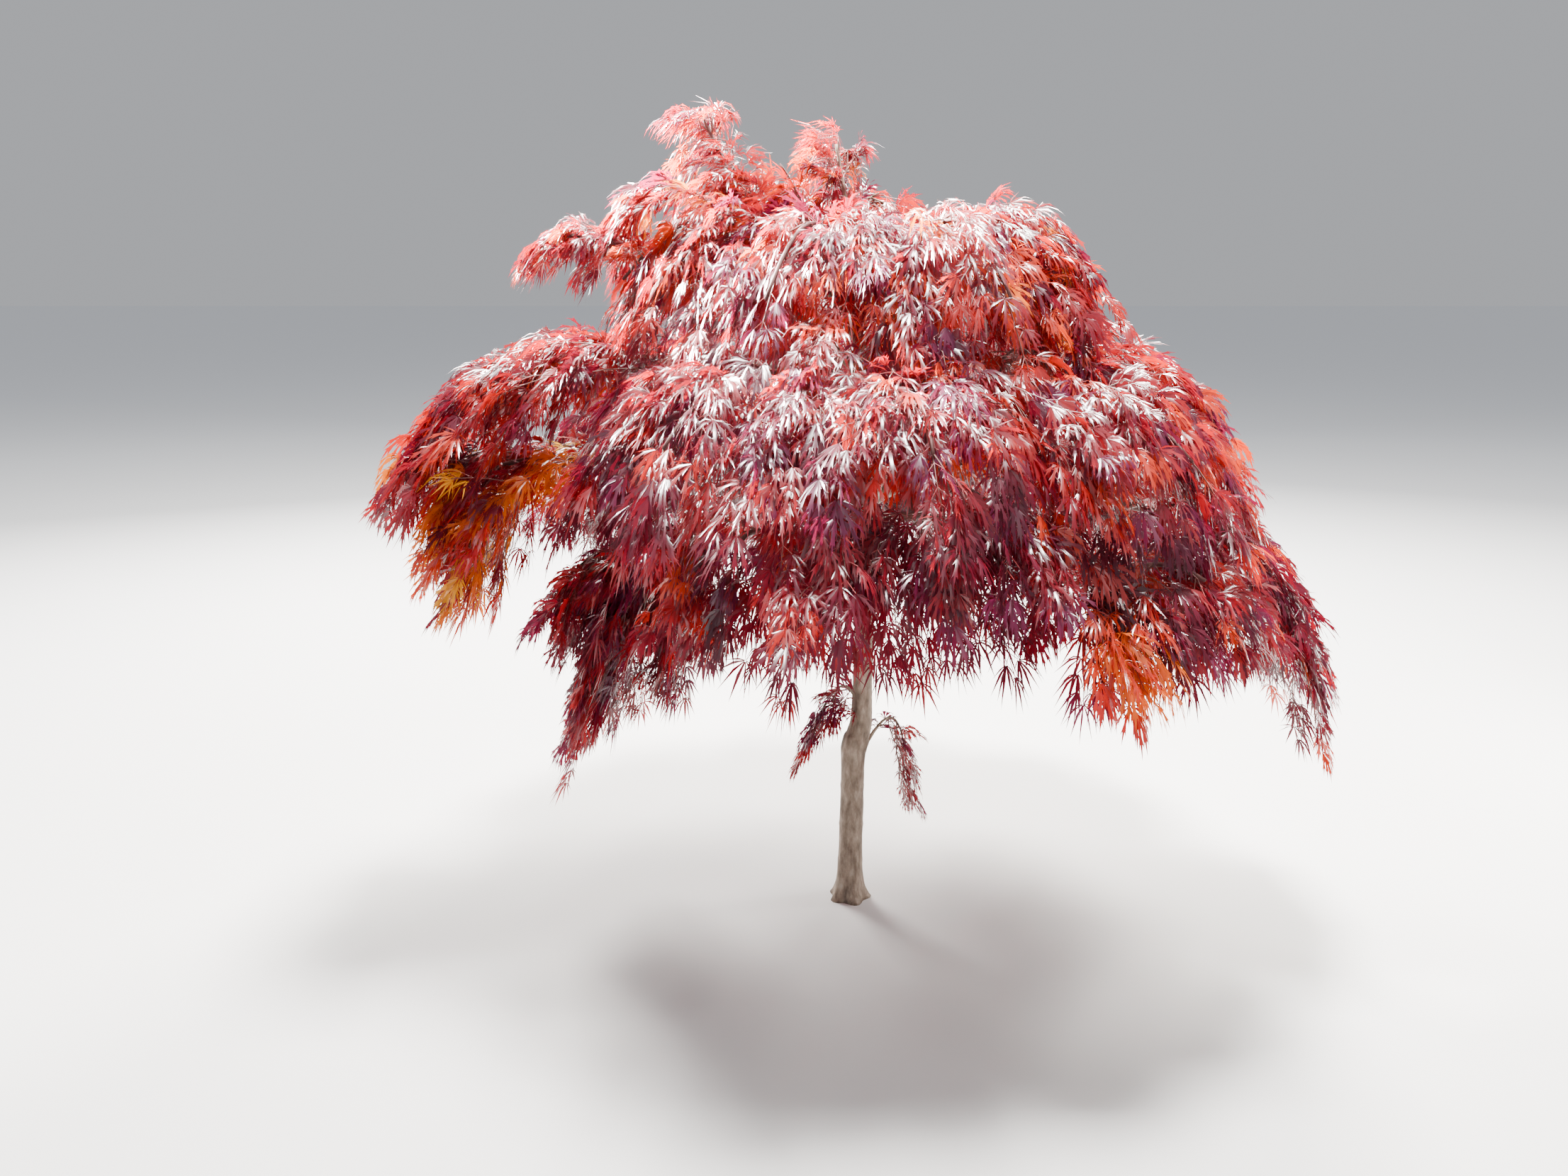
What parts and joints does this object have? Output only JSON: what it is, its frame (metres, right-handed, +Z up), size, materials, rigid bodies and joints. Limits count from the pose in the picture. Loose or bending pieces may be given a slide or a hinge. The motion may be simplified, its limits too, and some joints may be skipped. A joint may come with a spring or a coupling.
{
  "type": "weeping laceleaf maple tree",
  "caption": "Low weeping maple with finely cut red leaves: a grafted stem rooted in the ground, arching boughs, and hanging masses of foliage in tiers.",
  "frame": {"origin": "middle of the flat cut under the stem, at ground level", "axes": "+Z up the stem; +X to the right and +Y away, as the tree is seen in the picture"},
  "size_m": [1.7073, 1.4989, 1.4234],
  "materials": {
    "bark": "matt, finely mottled grey-tan bark",
    "leaf_scarlet": "thin glossy leaf",
    "leaf_crimson": "thin glossy leaf",
    "leaf_orange": "thin satin leaf, sun showing through",
    "leaf_wine": "thin satin leaf",
    "leaf_burgundy": "thin satin leaf in shade"
  },
  "bodies": {
    "root": {"trunk": "bark", "bough_crown_right": "bark", "bough_crown_back_right": "bark", "bough_crown_back_left": "bark", "bough_crown_left": "bark", "bough_crown_front_left": "bark", "bough_crown_front_right": "bark", "bough_spire": "bark", "bough_top_spray": "bark", "bough_left_spray": "bark", "bough_middle_right": "bark", "bough_middle_back_right": "bark", "bough_middle_back": "bark", "bough_middle_back_left": "bark", "bough_left_shelf": "bark", "bough_middle_front_left": "bark", "bough_middle_front": "bark", "bough_middle_front_right": "bark", "bough_skirt_right": "bark", "bough_skirt_back_right": "bark", "bough_skirt_back": "bark", "bough_skirt_back_left": "bark", "bough_skirt_left": "bark", "bough_lower_left": "bark", "bough_skirt_front_left": "bark", "bough_skirt_front": "bark", "bough_skirt_front_right": "bark", "crown_right": "leaf_scarlet", "crown_back_right": "leaf_crimson", "crown_back_left": "leaf_crimson", "crown_left": "leaf_crimson", "crown_front_left": "leaf_crimson", "crown_front_right": "leaf_scarlet", "spire": "leaf_scarlet", "top_spray": "leaf_scarlet", "left_spray": "leaf_scarlet", "middle_right": "leaf_crimson", "middle_back_right": "leaf_wine", "middle_back": "leaf_wine", "middle_back_left": "leaf_wine", "left_shelf": "leaf_orange", "middle_front_left": "leaf_crimson", "middle_front": "leaf_crimson", "middle_front_right": "leaf_crimson", "skirt_right": "leaf_wine", "skirt_back_right": "leaf_burgundy", "skirt_back": "leaf_burgundy", "skirt_back_left": "leaf_burgundy", "skirt_left": "leaf_orange", "lower_left": "leaf_burgundy", "skirt_front_left": "leaf_wine", "skirt_front": "leaf_wine", "skirt_front_right": "leaf_wine", "sprout_left": "leaf_burgundy", "sprout_right": "leaf_burgundy"}
  },
  "joints": []
}
